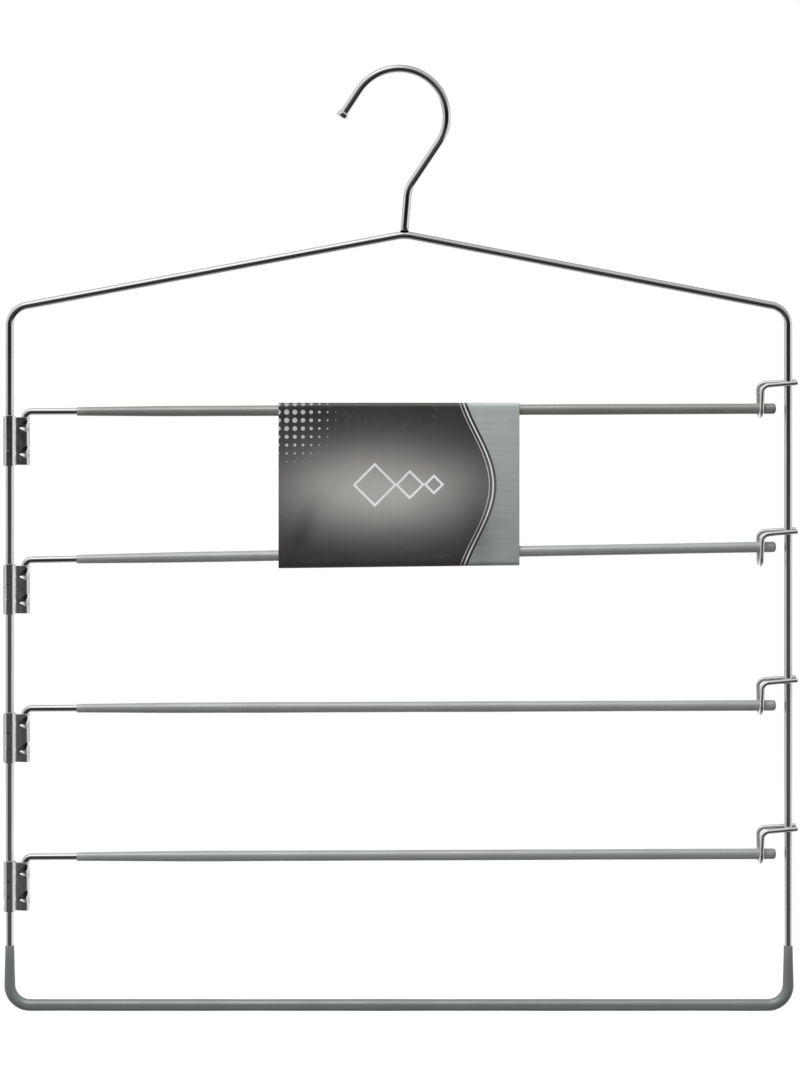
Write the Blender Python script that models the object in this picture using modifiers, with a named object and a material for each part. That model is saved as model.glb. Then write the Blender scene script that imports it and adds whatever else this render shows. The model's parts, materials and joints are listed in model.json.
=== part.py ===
"""Multi-tier trouser hanger: a bent wire frame with a hook, four swing arms and a folded card.

Units are metres, +Z is up and -Y faces the viewer. The origin is the rail seat, the inside of the
hook's top. Tier 1 is the top one.
"""

import math

import bmesh
import bpy
from mathutils import Vector

# Fits between neighbouring pieces
FIT_GAP = 0.0002            # a coat or a bracket round its wire
REST_GAP = 0.0003           # a piece that is welded to, or rests on, another one

# Frame loop
FRAME_WIRE_D = 0.0040
FRAME_WIDTH = 0.3816        # between the centrelines of the two uprights
SHOULDER_DROP = 0.0363      # from the apex down to the shoulder corners
TOP_CLEARANCE = 0.0505      # from the top tier up to the shoulder corners
FRAME_CORNER_R = 0.0100
APEX_R = 0.0200
APEX_OFFSET = 0.0027        # the apex stands a little to the right of the middle

# Hook
HOOK_WIRE_D = 0.0040
HOOK_INNER_R = 0.0214
HOOK_REACH = 0.0792         # from the rail seat down to the apex
HOOK_LEAD = 0.0130          # straight stretch behind the tip
HOOK_LEAD_ANGLE = math.radians(146.5)
HOOK_TAIL = 0.0269          # straight stretch between the bow and the neck
HOOK_TAIL_ANGLE = math.radians(-33.8)
HOOK_NECK_R = 0.0100
HOOK_HEAD_D = 0.0056        # upset button head on the tip
HOOK_HEAD_LENGTH = 0.0034

# Tiers
TIERS = 4
TIER_PITCH = 0.0727
BAR_RISE = 0.0015           # how far each bar climbs from its hinge to its free end
CARD_LIFT = 0.0050          # how much more the second bar climbs, held up by the card
CARD_TIER = 1               # the card hangs on this tier and the next one

# Coat of the bottom bar
BOTTOM_WALL = 0.0007
BOTTOM_SLEEVE_RISE = 0.0293  # how far the coat climbs up the uprights

# Swing arms and their coats
ARM_WIRE_D = 0.0034
ARM_BEND_R = 0.0026
PIN_INSET = 0.0015          # from the pin's foot to the bracket's lower edge
ARM_WALL = 0.0007
ARM_MOUTH_WALL = 0.00035    # the coat is thinner at its mouth
ARM_TAPER = 0.0450
ARM_BARE = 0.0257           # bare wire between the pin and the coat's mouth
ARM_TIP_WALL = 0.0016
ARM_TIP_R = 0.0015

# Hinge brackets
PIN_OFFSET = 0.0074         # from the upright to the pin
SHEET = 0.0007
BRACKET_HEIGHT = 0.0248
LEAF_REACH = 0.0040         # from the pin to the edge of the flat leaves before and behind it
LEAF_EDGE_R = 0.0006
CRIMP_INSET = 0.0055        # from the bracket's ends to its crimps
CRIMP_R = 0.0014
CRIMP_DEPTH = 0.0004

# Catches
CATCH_WIRE_D = 0.0023
CATCH_REACH = 0.0133        # from the upright to the catch's legs
CATCH_HEIGHT = 0.0112       # from a seated bar up to the catch's front arm
CATCH_CLIMB = 0.0012        # how far the catch's arms climb towards the upright
CATCH_BEND_R = 0.0033
CATCH_BACK_RISE = 0.0012    # how far the back arm lies above the front one
CATCH_BACK_REACH = 0.0005   # how far the back leg stands beyond the front one
CATCH_OVERHANG = 0.0040     # from the upright to the catch's ends
BAR_OVERHANG = 0.0071       # from the catch's legs to a bar's end

# Card
CARD_WIDTH = 0.1178
CARD_THICKNESS = 0.0005
CARD_GAP = 0.0005
CARD_SLACK = 0.0024         # spare room under the second bar

# Facets
STEP_ANGLE = math.radians(15)
WIRE_BEVEL = 3
ROUND_STEPS = 16
MERGE = 0.00001

# Sizes that follow from those above
FRAME_R = FRAME_WIRE_D / 2
ARM_R = ARM_WIRE_D / 2
CATCH_R = CATCH_WIRE_D / 2
SLEEVE_BORE = ARM_R + FIT_GAP
SLEEVE_R = SLEEVE_BORE + ARM_WALL
UPRIGHT_X = FRAME_WIDTH / 2
PIN_X = PIN_OFFSET - UPRIGHT_X
CATCH_X = UPRIGHT_X - CATCH_REACH
BAR_END_X = CATCH_X + BAR_OVERHANG
SHOULDER_Z = -HOOK_REACH - SHOULDER_DROP
TOP_TIER_Z = SHOULDER_Z - TOP_CLEARANCE
BOTTOM_Z = TOP_TIER_Z - TIERS * TIER_PITCH


def tier_z(tier):
    """Height of a tier's bar at its hinge."""
    return TOP_TIER_Z - (tier - 1) * TIER_PITCH


def bar_slope(tier):
    """Climb of a tier's bar for each metre along X."""
    climb = BAR_RISE
    if tier == CARD_TIER + 1:
        climb += CARD_LIFT
    return climb / (BAR_END_X - PIN_X)


def bar_z(tier, x):
    """Height of a tier's bar above the place x."""
    return tier_z(tier) + bar_slope(tier) * (x - PIN_X)


def clear_scene():
    for item in list(bpy.data.objects):
        bpy.data.objects.remove(item)


def new_collection(name):
    group = bpy.data.collections.new(name)
    bpy.context.scene.collection.children.link(group)
    return group


def new_material(name, colour, roughness, metallic):
    material = bpy.data.materials.new(name)
    material.use_nodes = True
    shader = material.node_tree.nodes["Principled BSDF"]
    shader.inputs["Base Color"].default_value = (*colour, 1)
    shader.inputs["Roughness"].default_value = roughness
    shader.inputs["Metallic"].default_value = metallic
    return material


def arc(centre, radius, start, end):
    """Points of a plane arc, from the angle start to the angle end."""
    steps = max(2, math.ceil(abs(end - start) / STEP_ANGLE))
    angles = [start + (end - start) * step / steps for step in range(steps + 1)]
    return [(centre[0] + radius * math.cos(a), centre[1] + radius * math.sin(a)) for a in angles]


def bend(before, corner, after, radius):
    """Points of a bend that rounds a corner of a wire's path."""
    inward = (corner - before).normalized()
    outward = (after - corner).normalized()
    turn = inward.angle(outward)
    side = (outward - inward * math.cos(turn)).normalized()
    start = corner - inward * radius * math.tan(turn / 2)
    return [start + inward * along + side * (radius - across)
            for across, along in arc((0, 0), radius, 0, turn)]


def bent_path(corners, radii, closed=False):
    """A wire's path through its corners, each rounded by its own radius."""
    path = []
    count = len(corners)
    for index, (corner, radius) in enumerate(zip(corners, radii)):
        if not closed and index in (0, count - 1):
            path.append(corner)
            continue
        after = corners[(index + 1) % count]
        path += bend(corners[index - 1], corner, after, radius)
    return [point for index, point in enumerate(path)
            if index == 0 or (point - path[index - 1]).length > MERGE]


def add_object(name, data, group, material, parent=None):
    item = bpy.data.objects.new(name, data)
    data.materials.append(material)
    group.objects.link(item)
    item.parent = parent
    return item


def add_wire(name, path, diameter, group, material, closed=False, swell=None, parent=None,
             capped=True):
    """A round wire along a path; swell scales its radius at each point."""
    curve = bpy.data.curves.new(name, 'CURVE')
    curve.dimensions = '3D'
    curve.bevel_depth = diameter / 2
    curve.bevel_resolution = WIRE_BEVEL
    curve.use_fill_caps = capped
    curve.render_resolution_u = 0
    spline = curve.splines.new('POLY')
    spline.points.add(len(path) - 1)
    for point, place in zip(spline.points, path):
        point.co = (*place, 1)
    if swell:
        for point, scale in zip(spline.points, swell):
            point.radius = scale
    spline.use_cyclic_u = closed
    spline.use_smooth = True
    return add_object(name, curve, group, material, parent)


def add_outline(name, loops, thickness, group, material, parent=None):
    """A flat outline with holes, given its thickness along its own Z."""
    curve = bpy.data.curves.new(name, 'CURVE')
    curve.dimensions = '2D'
    curve.fill_mode = 'BOTH'
    curve.extrude = thickness / 2
    curve.render_resolution_u = 0
    for loop in loops:
        spline = curve.splines.new('POLY')
        spline.points.add(len(loop) - 1)
        for point, place in zip(spline.points, loop):
            point.co = (*place, 0, 1)
        spline.use_cyclic_u = True
    return add_object(name, curve, group, material, parent)


def as_mesh(item, group):
    """The curve object made a closed mesh object of the same name and place."""
    bpy.context.view_layer.update()
    depsgraph = bpy.context.evaluated_depsgraph_get()
    mesh = bpy.data.meshes.new_from_object(item.evaluated_get(depsgraph))
    shape = bmesh.new()
    shape.from_mesh(mesh)
    bmesh.ops.remove_doubles(shape, verts=shape.verts, dist=MERGE)
    shape.to_mesh(mesh)
    shape.free()
    name = item.name
    place = item.matrix_world.copy()
    bpy.data.objects.remove(item)
    solid = bpy.data.objects.new(name, mesh)
    group.objects.link(solid)
    solid.matrix_world = place
    return solid


def circle(centre, radius):
    return arc(centre, radius, 0, math.tau * (ROUND_STEPS - 1) / ROUND_STEPS)


def frame_corners():
    apex = Vector((APEX_OFFSET, 0, -HOOK_REACH))
    right = [Vector((UPRIGHT_X, 0, z)) for z in (SHOULDER_Z, BOTTOM_Z)]
    left = [Vector((-UPRIGHT_X, 0, z)) for z in (BOTTOM_Z, SHOULDER_Z)]
    return [apex, *right, *left]


def make_frame(group, chrome):
    radii = [APEX_R] + [FRAME_CORNER_R] * 4
    path = bent_path(frame_corners(), radii, closed=True)
    add_wire("frame_loop", path, FRAME_WIRE_D, group, chrome, closed=True)
    return max(point.z for point in path)


def make_hook(group, chrome, apex_z):
    wire_r = HOOK_WIRE_D / 2
    bow_r = HOOK_INNER_R + wire_r
    bow = [Vector((x, 0, z)) for x, z in
           arc((0, -HOOK_INNER_R), bow_r, HOOK_LEAD_ANGLE, HOOK_TAIL_ANGLE)]
    lead = Vector((-math.sin(HOOK_LEAD_ANGLE), 0, math.cos(HOOK_LEAD_ANGLE)))
    tail = Vector((math.sin(HOOK_TAIL_ANGLE), 0, -math.cos(HOOK_TAIL_ANGLE)))
    neck = bow[-1] + tail * HOOK_TAIL
    foot = Vector((APEX_OFFSET, 0, apex_z + FRAME_R + REST_GAP))
    # The button head's outline: how far from its end, and how wide, as shares of its own size
    head = [(0.0, 0.55), (0.12, 0.84), (0.32, 1.0), (0.72, 1.0), (1.0, None)]
    tip = bow[0] + lead * (HOOK_LEAD + HOOK_HEAD_LENGTH)
    path = []
    swell = []
    for along, wide in head:
        path.append(tip - lead * along * HOOK_HEAD_LENGTH)
        swell.append(wide * HOOK_HEAD_D / HOOK_WIRE_D if wide else 1)
    path += bow + bent_path([bow[-1], neck, foot], [0, HOOK_NECK_R, 0])[1:]
    swell += [1] * (len(path) - len(swell))
    add_wire("hook", path, HOOK_WIRE_D, group, chrome, swell=swell)


def make_bottom_sleeve(group, coat):
    corners = [Vector((x, 0, z)) for x, z in (
        (UPRIGHT_X, BOTTOM_Z + BOTTOM_SLEEVE_RISE), (UPRIGHT_X, BOTTOM_Z),
        (-UPRIGHT_X, BOTTOM_Z), (-UPRIGHT_X, BOTTOM_Z + BOTTOM_SLEEVE_RISE))]
    path = bent_path(corners, [0, FRAME_CORNER_R, FRAME_CORNER_R, 0])
    outer_d = FRAME_WIRE_D + 2 * (FIT_GAP + BOTTOM_WALL)
    sleeve = add_wire("bottom_bar_sleeve", path, outer_d, group, coat, capped=False)
    wall = sleeve.modifiers.new("wall", 'SOLIDIFY')
    wall.thickness = BOTTOM_WALL
    wall.offset = -1


def make_arm(tier, pivot, group, chrome):
    """The L-bent wire of an arm, in its pivot's frame."""
    slope = bar_slope(tier)
    reach = BAR_END_X - PIN_X - ARM_TIP_WALL
    foot = Vector((0, 0, PIN_INSET - ARM_R - REST_GAP - BRACKET_HEIGHT))
    tip = Vector((reach, 0, slope * reach))
    path = bent_path([foot, Vector(), tip], [0, ARM_BEND_R, 0])
    add_wire(f"swing_arm_{tier}", path, ARM_WIRE_D, group, chrome, parent=pivot)


def make_arm_sleeve(tier, pivot, group, coat):
    """The arm's coat: a turned tube with a blind, rounded end."""
    tilt = math.atan(bar_slope(tier))
    length = (BAR_END_X - PIN_X) / math.cos(tilt) - ARM_BARE
    bore_end = length - ARM_TIP_WALL + FIT_GAP
    mouth_r = SLEEVE_BORE + ARM_MOUTH_WALL
    rounding = arc((SLEEVE_R - ARM_TIP_R, length - ARM_TIP_R), ARM_TIP_R, math.pi / 2, 0)
    profile = [(0, length), *rounding, (SLEEVE_R, ARM_TAPER), (mouth_r, 0),
               (SLEEVE_BORE, 0), (SLEEVE_BORE, bore_end), (0, bore_end)]
    mesh = bpy.data.meshes.new(f"arm_sleeve_{tier}")
    mesh.from_pydata([(x, 0, z) for x, z in profile],
                     [(i, i + 1) for i in range(len(profile) - 1)], [])
    sleeve = add_object(f"arm_sleeve_{tier}", mesh, group, coat, pivot)
    sleeve.location = (ARM_BARE * math.cos(tilt), 0, ARM_BARE * math.sin(tilt))
    sleeve.rotation_euler = (0, math.pi / 2 - tilt, 0)
    turn = sleeve.modifiers.new("turn", 'SCREW')
    turn.axis = 'Z'
    turn.steps = ROUND_STEPS
    turn.render_steps = ROUND_STEPS
    turn.use_merge_vertices = True
    turn.merge_threshold = MERGE


def make_bracket(tier, group, cutters, chrome):
    """A strip folded round the upright and the pin, pressed together in the groove between them."""
    roll_r = FRAME_R + FIT_GAP + SHEET
    pin_roll_r = ARM_R + FIT_GAP + SHEET
    groove = math.asin(SHEET / roll_r)
    leaf_x = PIN_OFFSET - LEAF_REACH
    edge = (leaf_x + LEAF_EDGE_R, pin_roll_r - LEAF_EDGE_R)
    outline = (arc((0, 0), roll_r, groove, math.tau - groove)
               + [(leaf_x, -SHEET)]
               + arc((edge[0], -edge[1]), LEAF_EDGE_R, math.pi, 1.5 * math.pi)
               + arc((PIN_OFFSET, 0), pin_roll_r, -math.pi / 2, math.pi / 2)
               + arc(edge, LEAF_EDGE_R, math.pi / 2, math.pi)
               + [(leaf_x, SHEET)])
    bores = [circle((0, 0), FRAME_R + FIT_GAP), circle((PIN_OFFSET, 0), ARM_R + FIT_GAP)]
    name = f"hinge_bracket_{tier}"
    bracket = add_outline(name, [outline, *bores], BRACKET_HEIGHT, group, chrome)
    top = tier_z(tier) - ARM_R - REST_GAP
    middle = top - BRACKET_HEIGHT / 2
    bracket.location = (-UPRIGHT_X, 0, middle)
    bracket = as_mesh(bracket, group)
    for side in (-1, 1):
        z = middle + side * (BRACKET_HEIGHT / 2 - CRIMP_INSET)
        bpy.ops.mesh.primitive_cylinder_add(
            vertices=ROUND_STEPS, radius=CRIMP_R, depth=2 * pin_roll_r,
            location=(PIN_X, CRIMP_DEPTH - pin_roll_r - CRIMP_R, z), rotation=(0, math.pi / 2, 0))
        cutter = bpy.context.object
        cutter.name = f"crimp_cutter_{tier}"
        cutter.users_collection[0].objects.unlink(cutter)
        cutters.objects.link(cutter)
        cutter.hide_render = True
        cutter.display_type = 'WIRE'
        crimp = bracket.modifiers.new("crimp", 'BOOLEAN')
        crimp.operation = 'DIFFERENCE'
        crimp.object = cutter


def make_catch(tier, group, chrome):
    """A wire hairpin: its bow lies under the bar and its ends straddle the upright."""
    weld_y = FRAME_R + REST_GAP + CATCH_R
    leg_y = SLEEVE_R + REST_GAP + CATCH_R
    seat_z = tier_z(tier) + BAR_RISE * (CATCH_X - PIN_X) / (BAR_END_X - PIN_X)
    arm_z = seat_z + CATCH_HEIGHT
    back_x = CATCH_X - CATCH_BACK_REACH
    back_z = arm_z + CATCH_BACK_RISE
    end_x = UPRIGHT_X + CATCH_OVERHANG
    corners = [Vector(place) for place in (
        (end_x, -weld_y, arm_z + CATCH_CLIMB), (CATCH_X, -leg_y, arm_z), (CATCH_X, -leg_y, seat_z - leg_y),
        (back_x, leg_y, seat_z - leg_y), (back_x, leg_y, back_z), (end_x, weld_y, back_z + CATCH_CLIMB))]
    radii = [0, CATCH_BEND_R, leg_y, leg_y, CATCH_BEND_R, 0]
    path = bent_path(corners, radii)
    add_wire(f"arm_catch_{tier}", path, CATCH_WIRE_D, group, chrome)


def stadium(radius, top, bottom):
    """A loop with round ends, whose end centres lie at the heights top and bottom."""
    return arc((0, top), radius, 0, math.pi) + arc((0, bottom), radius, math.pi, math.tau)


def make_card(pivot, group, paper):
    """A strip of card folded into a flat loop round the two top bars."""
    inner_r = SLEEVE_R + CARD_GAP
    outer_r = inner_r + CARD_THICKNESS
    top = bar_z(CARD_TIER, 0) - pivot.location.z
    lowest = bar_z(CARD_TIER + 1, -CARD_WIDTH / 2) - SLEEVE_R - CARD_SLACK
    bottom = lowest + inner_r - pivot.location.z
    loops = [stadium(radius, top, bottom) for radius in (outer_r, inner_r)]
    card = add_outline("sales_card", loops, CARD_WIDTH, group, paper, pivot)
    card.location = (-PIN_X, 0, 0)
    card.rotation_euler = (math.pi / 2, 0, math.pi / 2)


def main():
    clear_scene()
    group = new_collection("trouser_hanger")
    cutters = new_collection("trouser_hanger_cutters")
    chrome = new_material("chrome", (0.78, 0.78, 0.80), 0.12, 1.0)
    coat = new_material("grey_coat", (0.22, 0.23, 0.22), 0.45, 0.0)
    paper = new_material("printed_card", (0.12, 0.12, 0.12), 0.5, 0.0)

    apex_z = make_frame(group, chrome)
    make_hook(group, chrome, apex_z)
    make_bottom_sleeve(group, coat)
    for tier in range(1, TIERS + 1):
        pivot = bpy.data.objects.new(f"swing_axis_{tier}", None)
        pivot.location = (PIN_X, 0, tier_z(tier))
        group.objects.link(pivot)
        make_arm(tier, pivot, group, chrome)
        make_arm_sleeve(tier, pivot, group, coat)
        make_bracket(tier, group, cutters, chrome)
        make_catch(tier, group, chrome)
        if tier == CARD_TIER:
            make_card(pivot, group, paper)
    bpy.context.view_layer.update()


main()
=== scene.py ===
import json
import math
from functools import partial

import bpy
import numpy as np
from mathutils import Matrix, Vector

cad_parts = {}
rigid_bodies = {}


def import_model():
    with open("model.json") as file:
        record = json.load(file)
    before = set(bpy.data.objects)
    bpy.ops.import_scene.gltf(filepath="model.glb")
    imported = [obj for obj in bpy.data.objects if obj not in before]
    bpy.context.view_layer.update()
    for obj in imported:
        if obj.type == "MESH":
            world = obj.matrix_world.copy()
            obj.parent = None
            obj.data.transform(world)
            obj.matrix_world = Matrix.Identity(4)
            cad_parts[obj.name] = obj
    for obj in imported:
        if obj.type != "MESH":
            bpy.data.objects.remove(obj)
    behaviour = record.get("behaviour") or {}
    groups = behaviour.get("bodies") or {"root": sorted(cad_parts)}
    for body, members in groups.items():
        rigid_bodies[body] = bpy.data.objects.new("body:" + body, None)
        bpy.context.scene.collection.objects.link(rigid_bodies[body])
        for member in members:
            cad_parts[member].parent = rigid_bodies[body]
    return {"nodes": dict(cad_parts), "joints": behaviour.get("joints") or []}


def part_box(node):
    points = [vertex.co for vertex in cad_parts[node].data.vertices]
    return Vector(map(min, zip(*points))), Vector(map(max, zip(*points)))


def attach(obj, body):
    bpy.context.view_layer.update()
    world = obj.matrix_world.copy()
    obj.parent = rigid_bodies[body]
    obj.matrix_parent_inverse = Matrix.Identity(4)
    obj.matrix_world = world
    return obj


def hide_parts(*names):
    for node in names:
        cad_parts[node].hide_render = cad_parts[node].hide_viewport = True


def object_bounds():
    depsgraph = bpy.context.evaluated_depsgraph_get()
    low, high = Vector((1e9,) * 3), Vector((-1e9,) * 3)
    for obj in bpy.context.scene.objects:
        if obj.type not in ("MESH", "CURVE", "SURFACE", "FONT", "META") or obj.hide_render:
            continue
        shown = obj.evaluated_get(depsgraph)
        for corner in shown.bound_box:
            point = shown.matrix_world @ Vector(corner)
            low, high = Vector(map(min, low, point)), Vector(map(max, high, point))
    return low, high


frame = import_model()
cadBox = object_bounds()
pins = {joint["child"]: np.array(joint["pos_m"], float)
        for joint in frame["joints"] if joint["type"] == "hinge"}
tiers = range(1, len(pins) + 1)
print("frame loaded:", len(frame["nodes"]), "nodes,", len(pins), "tiers")


# Rows divided by their lengths
def unit(rows):
    return rows / np.linalg.norm(rows, axis=-1, keepdims=True)


# Eased step: 0 at low, 1 at high and t squared times 3 - 2t between them
def ease(low, high, values):
    t = np.clip((values - low) / (high - low), 0, 1)
    return t * t * (3 - 2 * t)


# Angles of a ring's points
def ringAngles(sides):
    return np.linspace(0, 2 * math.pi, sides, endpoint=False)


# Sum of size * sin(rate * value + phase) over waves given as (rate, size, phase)
def sumOfSines(values, waves):
    return sum(size * np.sin(values * rate + phase) for rate, size, phase in waves)


def cadSpan(node):
    low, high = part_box(node)
    return np.array(low), np.array(high)


# A line through corners. Each bend starts where the way in meets its arc and adds
# radius * sin(turn) along the way in and radius * (1 - cos(turn)) towards the way out.
def bentPath(corners, radii, stepAngle=3):
    corners = np.asarray(corners, float)
    runs = [corners[:1]]
    for before, corner, after, radius in zip(corners, corners[1:], corners[2:], radii):
        wayIn, wayOut = unit(corner - before), unit(after - corner)
        turn = math.acos(np.clip(wayIn @ wayOut, -1, 1))
        towards = unit(wayOut - wayIn * math.cos(turn))
        angle = np.linspace(0, turn, 2 + math.ceil(turn / math.radians(stepAngle)))[:, None]
        start = corner - wayIn * radius * math.tan(turn / 2)
        runs.append(start + wayIn * radius * np.sin(angle) + towards * radius * (1 - np.cos(angle)))
    return np.vstack(runs + [corners[-1:]])


# Running length at each point of a path
def pathLengths(path):
    return np.concatenate([[0], np.cumsum(np.linalg.norm(np.diff(path, axis=0), axis=1))])


# Directions of a path: the mean of the stretches before and after each point, one long
def pathDirections(path):
    stretch = unit(np.diff(path, axis=0))
    return unit(np.vstack([stretch[:1], stretch[:-1] + stretch[1:], stretch[-1:]]))


# Rows that belong to a path's points, read between them at other lengths
def readAlong(rows, own, stations):
    return np.stack([np.interp(stations, own, column) for column in rows.T], 1)


# Lengths where a path gets a ring, to a micrometre: its own points and even steps between them
def ringStations(path, low, high, step):
    own = pathLengths(path)
    return np.unique(np.round(np.concatenate(
        [own[(own > low) & (own < high)], np.arange(low, high, step), [high]]), 6))


# Lengths and radii of a cut bar: quarter circles of the edge radius at both ends, plain between them
def cutBar(path, radius, edge, step, edgeRings=6, apart=1e-5):
    angle = np.linspace(math.pi / 2, 0, edgeRings)
    total = pathLengths(path)[-1]
    middle = ringStations(path, edge + apart, total - edge - apart, step)
    inset, edgeRadius = edge * (1 - np.sin(angle)), radius - edge * (1 - np.cos(angle))
    stations = np.concatenate([inset, middle, total - inset[::-1]])
    return stations, np.concatenate([edgeRadius, np.full(len(middle), radius), edgeRadius[::-1]])


# Rings of a round bar: at each station a circle of its radius, side * cos(turn) + up * sin(turn),
# square to the path. The path never runs along the direction given as across.
def carryRound(path, stations, radius, sides, across):
    own = pathLengths(path)
    middle = readAlong(path, own, stations)
    ahead = unit(readAlong(pathDirections(path), own, stations))
    side = unit(np.cross(ahead, across))
    up = np.cross(side, ahead)
    turn = ringAngles(sides)[None, :, None]
    ring = side[:, None] * np.cos(turn) + up[:, None] * np.sin(turn)
    return middle[:, None] + ring * np.broadcast_to(radius, stations.shape)[:, None, None]


# UV of a round bar, in metres along and in shares of the turn round
def roundUv(stations, sides):
    along, turn = np.meshgrid(stations, np.linspace(0, 1, sides + 1), indexing="ij")
    return np.stack([along, turn], -1)


# Rings of a sheet's strip: the outline of its cut, a rectangle with rounded edges, is carried along
# the middle line, its width along one fixed direction and its thickness square to both.
def carrySheet(line, widthways, halfWidth, thickness, edge, samples, edgeSteps=4):
    normal = np.cross(pathDirections(line), widthways)
    angle = np.linspace(0, math.pi / 2, edgeSteps + 1)
    share, rounded = np.linspace(-1, 1, samples), np.ones(2 * edgeSteps)
    half = thickness / 2
    rise, reach = half - edge + edge * np.cos(angle), edge * np.sin(angle)
    offset = np.concatenate([np.full(samples, half), rise[1:], -rise[:0:-1],
                             np.full(samples, -half), -rise[1:], rise[:0:-1]])
    place = np.concatenate([share, rounded, share[::-1], -rounded])
    beyond = np.concatenate([0 * share, reach[1:], reach[:0:-1], 0 * share, -reach[1:], -reach[:0:-1]])
    across = place * (halfWidth[:, None] - edge) + beyond
    rings = line[:, None] + normal[:, None] * offset[:, None] + across[..., None] * widthways
    return rings, across, offset / half, normal


# UV of a sheet's strip, from two measures of its rings
def sheetUv(first, second):
    uv = np.stack(np.broadcast_arrays(first, second), -1)
    return np.concatenate([uv, uv[:, :1]], 1)


def addObject(name, data):
    made = bpy.data.objects.new(name, data)
    bpy.context.scene.collection.objects.link(made)
    return made


# Quads between neighbouring rings and, on an open bar, triangles from each end ring to its middle
def skinRings(name, rings, uv, closed=False, sharp=None):
    rows, sides = rings.shape[:2]
    i, j = np.meshgrid(np.arange(rows if closed else rows - 1), np.arange(sides), indexing="ij")
    nextRow, nextSide = (i + 1) % rows, (j + 1) % sides
    corners = [(i, j), (nextRow, j), (nextRow, nextSide), (i, nextSide)]
    quads = np.stack([a * sides + b for a, b in corners], -1).reshape(-1, 4)
    quadUv = np.stack([uv[i, j], uv[i + 1, j], uv[i + 1, j + 1], uv[i, j + 1]], 2).reshape(-1, 2)
    points, faces, faceUv = rings.reshape(-1, 3), quads.tolist(), [quadUv]
    if not closed:
        around, pole = np.arange(sides), len(points)
        points = np.vstack([points, rings[0].mean(0), rings[-1].mean(0)])
        for end, row, pair in ((0, 0, (around, around + 1)), (1, rows - 1, (around + 1, around))):
            rim = [row * sides + k % sides for k in pair]
            faces += np.stack([np.full(sides, pole + end), *rim], 1).tolist()
            middle = uv[row, :-1].mean(0)[None].repeat(sides, 0)
            faceUv.append(np.stack([middle, *(uv[row, k] for k in pair)], 1).reshape(-1, 2))
    mesh = bpy.data.meshes.new(name)
    mesh.from_pydata(points.tolist(), [], faces)
    mesh.uv_layers.new(name="along").data.foreach_set("uv", np.vstack(faceUv).astype(np.float32).ravel())
    mesh.polygons.foreach_set("use_smooth", np.ones(len(faces), bool))
    if sharp:
        mesh.set_sharp_from_angle(angle=math.radians(sharp))
    mesh.update()
    return addObject(name, mesh)


# A round bar and its rings. A closed one has the length where it closes.
def roundBar(name, path, stations, radius, sides, closing=None, across=(0, 1, 0)):
    rings, closed = carryRound(path, stations, radius, sides, across), closing is not None
    uv = roundUv(np.append(stations, closing) if closed else stations, sides)
    return skinRings(name, rings, uv, closed), rings


# A number at each point of a piece that its material reads; poles take the value given as rest
def markPoints(piece, label, values, rest=0.0):
    full = np.full(len(piece.data.vertices), rest, np.float32)
    full[:values.size] = values.ravel()
    piece.data.attributes.new(label, "FLOAT", "POINT").data.foreach_set("value", full)


# Marks round welds: e to the minus squared distance over the reach, from the nearest weld
def markWelds(piece, rings, welds, reach):
    away = np.linalg.norm(rings[:, :, None] - np.asarray(welds)[None, None], axis=-1).min(-1)
    markPoints(piece, "weldMark", np.exp(-(away / reach) ** 2))


def fitPiece(piece, finish, body, slot, *nodes):
    piece.data.materials.append(finish)
    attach(piece, body)
    if nodes:
        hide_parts(*nodes)


# Shader helpers
def fillSockets(tree, made, inputs):
    for key, value in inputs.items():
        if isinstance(value, bpy.types.NodeSocket):
            tree.links.new(value, made.inputs[key])
        else:
            made.inputs[key].default_value = value


def addNode(tree, kind, inputs=None, **settings):
    made = tree.nodes.new("ShaderNode" + kind)
    for name, value in settings.items():
        setattr(made, name, value)
    fillSockets(tree, made, inputs or {})
    return made


def calc(tree, operation, *values):
    return addNode(tree, "Math", dict(enumerate(values)), operation=operation).outputs[0]


def addShares(tree, base, *shares):
    for value, amount in shares:
        base = calc(tree, "MULTIPLY_ADD", value, amount, base)
    return base


def softStep(tree, value, low, high, start=0.0, end=1.0):
    return addNode(tree, "MapRange", {0: value, 1: low, 2: high, 3: start, 4: end},
                   interpolation_type="SMOOTHSTEP").outputs[0]


def mixColour(tree, share, first, second, most=None):
    share = share if most is None else calc(tree, "MULTIPLY", share, most)
    return addNode(tree, "Mix", {0: share, 6: first, 7: second}, data_type="RGBA").outputs[2]


def noise(tree, place, scale, detail, roughness=0.5):
    return addNode(tree, "TexNoise", {"Vector": place, "Scale": scale, "Detail": detail,
                                      "Roughness": roughness}).outputs[0]


def pointMark(tree, label):
    return addNode(tree, "Attribute", attribute_name=label).outputs["Fac"]


def bumpFrom(tree, height, strength, distance):
    return addNode(tree, "Bump", {"Strength": strength, "Distance": distance, "Height": height}).outputs[0]


def grey(value, warm=0.0):
    return (value * (1 + warm), value, value * (1 - warm), 1)


def scaled(colour, share):
    return tuple(share * part for part in colour[:3]) + (1,)


# A group that makes one measure from a place and numbers, as the function given as build says
def newGroup(name, numbers, output, build):
    group = bpy.data.node_groups.new(name, "ShaderNodeTree")
    group.interface.new_socket("Place", in_out="INPUT", socket_type="NodeSocketVector")
    for label in numbers:
        group.interface.new_socket(label, in_out="INPUT", socket_type="NodeSocketFloat")
    group.interface.new_socket(output, in_out="OUTPUT", socket_type="NodeSocketFloat")
    measure = build(group, group.nodes.new("NodeGroupInput").outputs)
    group.links.new(measure, group.nodes.new("NodeGroupOutput").inputs[0])
    return group


def placeGroup(tree, group, **inputs):
    made = tree.nodes.new("ShaderNodeGroup")
    made.node_tree = group
    fillSockets(tree, made, inputs)
    return made.outputs[0]


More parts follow.
